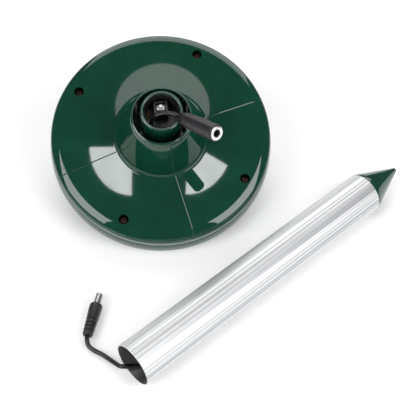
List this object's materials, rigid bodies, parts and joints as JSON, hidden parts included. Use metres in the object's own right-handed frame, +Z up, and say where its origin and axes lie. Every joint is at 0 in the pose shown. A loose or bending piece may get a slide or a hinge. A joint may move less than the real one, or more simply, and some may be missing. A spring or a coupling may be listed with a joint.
{
  "type": "ultrasonic pest repeller",
  "caption": "Garden-stake pest repeller taken apart: round solar head upside down with its socket up, pointed aluminium stake lying beside it, each with a short cord.",
  "frame": {"origin": "on the ground under the middle of the whole arrangement, cords left out", "axes": "+Z up from the ground, +X to the right of someone facing the socket's near side, +Y away from them"},
  "size_m": [0.2878, 0.2937, 0.1272],
  "materials": {
    "green_plastic": "gloss",
    "black_plastic": "satin",
    "grey_plastic": "satin",
    "white_plastic": "satin",
    "clear_resin": "gloss",
    "seal_rubber": "matte",
    "cord_rubber": "satin",
    "tube_aluminium": "drawn",
    "plated_metal": "polished",
    "screw_steel": "passivated",
    "brass_metal": "bright",
    "panel_resin": "gloss",
    "cell_blue": "gloss",
    "board_green": "satin",
    "part_black": "matte",
    "cell_wrap": "gloss",
    "magnet_grey": "matte",
    "coil_copper": "enamelled",
    "cone_film": "satin",
    "sleeve_card": "matte",
    "lead_red": "satin"
  },
  "bodies": {
    "head": {"lower_cover": "green_plastic", "upper_cover": "green_plastic", "socket_spigot": "green_plastic", "cover_seal": "seal_rubber", "cover_screws": "screw_steel", "solar_panel": "panel_resin", "solar_cells": "cell_blue", "panel_gasket": "seal_rubber", "control_board": "board_green", "board_components": "part_black", "board_screws": "plated_metal", "switch_board": "board_green", "switch_body": "grey_plastic", "indicator_led": "clear_resin", "socket_terminals": "brass_metal", "battery_holder": "black_plastic", "battery_cells": "cell_wrap", "battery_springs": "plated_metal", "jack_cord": "cord_rubber", "jack_body": "black_plastic", "jack_sleeve": "plated_metal", "jack_insulator": "black_plastic", "jack_pin": "brass_metal"},
    "switch_knob": {"switch_slider": "white_plastic"},
    "stake": {"stake_tube": "tube_aluminium", "tube_liner": "sleeve_card", "stake_tip": "green_plastic", "cable_gland": "seal_rubber", "driver_frame": "black_plastic", "driver_magnet": "magnet_grey", "driver_pole": "plated_metal", "driver_seal": "seal_rubber", "driver_leads": "lead_red", "plug_cord": "cord_rubber", "plug_body": "black_plastic", "plug_barrel": "plated_metal", "plug_insulator": "grey_plastic", "plug_contact": "brass_metal"},
    "sounder_cone": {"voice_coil": "coil_copper", "diaphragm": "cone_film"}
  },
  "joints": [
    {"name": "stake_lift", "type": "slide", "parent": "head", "child": "stake", "axis": [0, 0, 1], "range_m": [0, 0.12]},
    {"name": "power_slide", "type": "slide", "parent": "head", "child": "switch_knob", "axis": [0.094, -0.8939, -0.4384], "range_m": [0, 0.003]},
    {"name": "cone_travel", "type": "slide", "parent": "stake", "child": "sounder_cone", "axis": [0.7466, 0.6652, 0], "range_m": [-0.0004, 0.0004], "stiffness_N_per_m": 2500}
  ]
}
